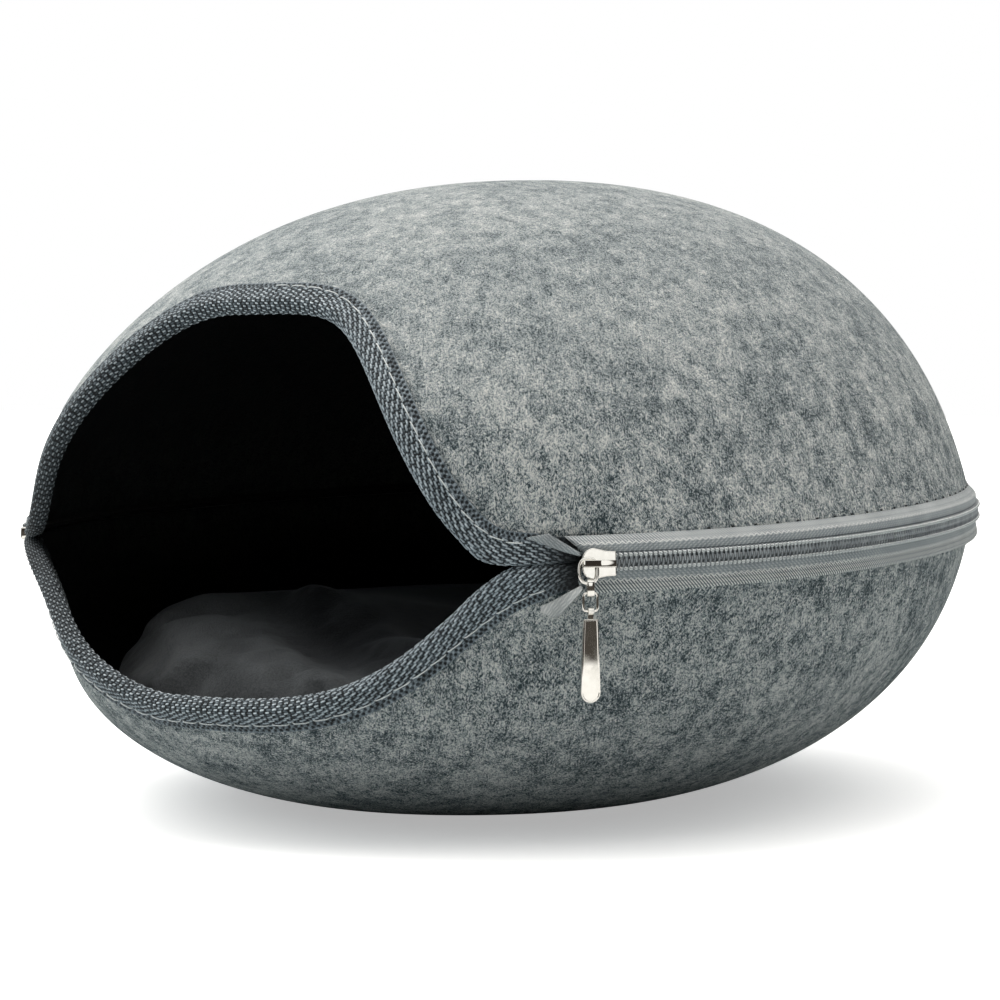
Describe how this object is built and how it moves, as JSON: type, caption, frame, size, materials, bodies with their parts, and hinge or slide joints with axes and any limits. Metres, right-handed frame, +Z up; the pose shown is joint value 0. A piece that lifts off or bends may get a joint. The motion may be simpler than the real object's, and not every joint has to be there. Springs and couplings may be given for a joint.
{
  "type": "pet cave bed",
  "caption": "Egg-shaped grey felt cave for a cat or small dog: a dome zipped to a flat-based bowl, with a bound mouth at the front and a loose plush cushion inside.",
  "frame": {"origin": "middle of the flat base of the bowl, on the surface that the bed stands on", "axes": "+Z up, -Y out of the mouth, +X towards the corner of the mouth where the slider is"},
  "size_m": [0.4044, 0.4403, 0.2658],
  "materials": {
    "felt": "mottled grey melange needle felt, matt",
    "braid": "dark slate woven braid with paler flecks and one thread line",
    "tape": "grey woven zip tape",
    "coil": "dark grey nylon coil",
    "metal": "polished nickel plating",
    "plush": "dark grey short plush"
  },
  "bodies": {
    "root": {"felt_top": "felt", "felt_bottom": "felt", "binding_top": "braid", "binding_bottom": "braid", "zip_tape_top": "tape", "zip_tape_bottom": "tape", "zip_chain": "coil", "zip_stop": "metal", "slider": "metal", "pull_ring": "metal", "pull_link": "metal", "pull_loop": "metal", "pull_tab": "metal", "cushion": "plush"}
  },
  "joints": []
}
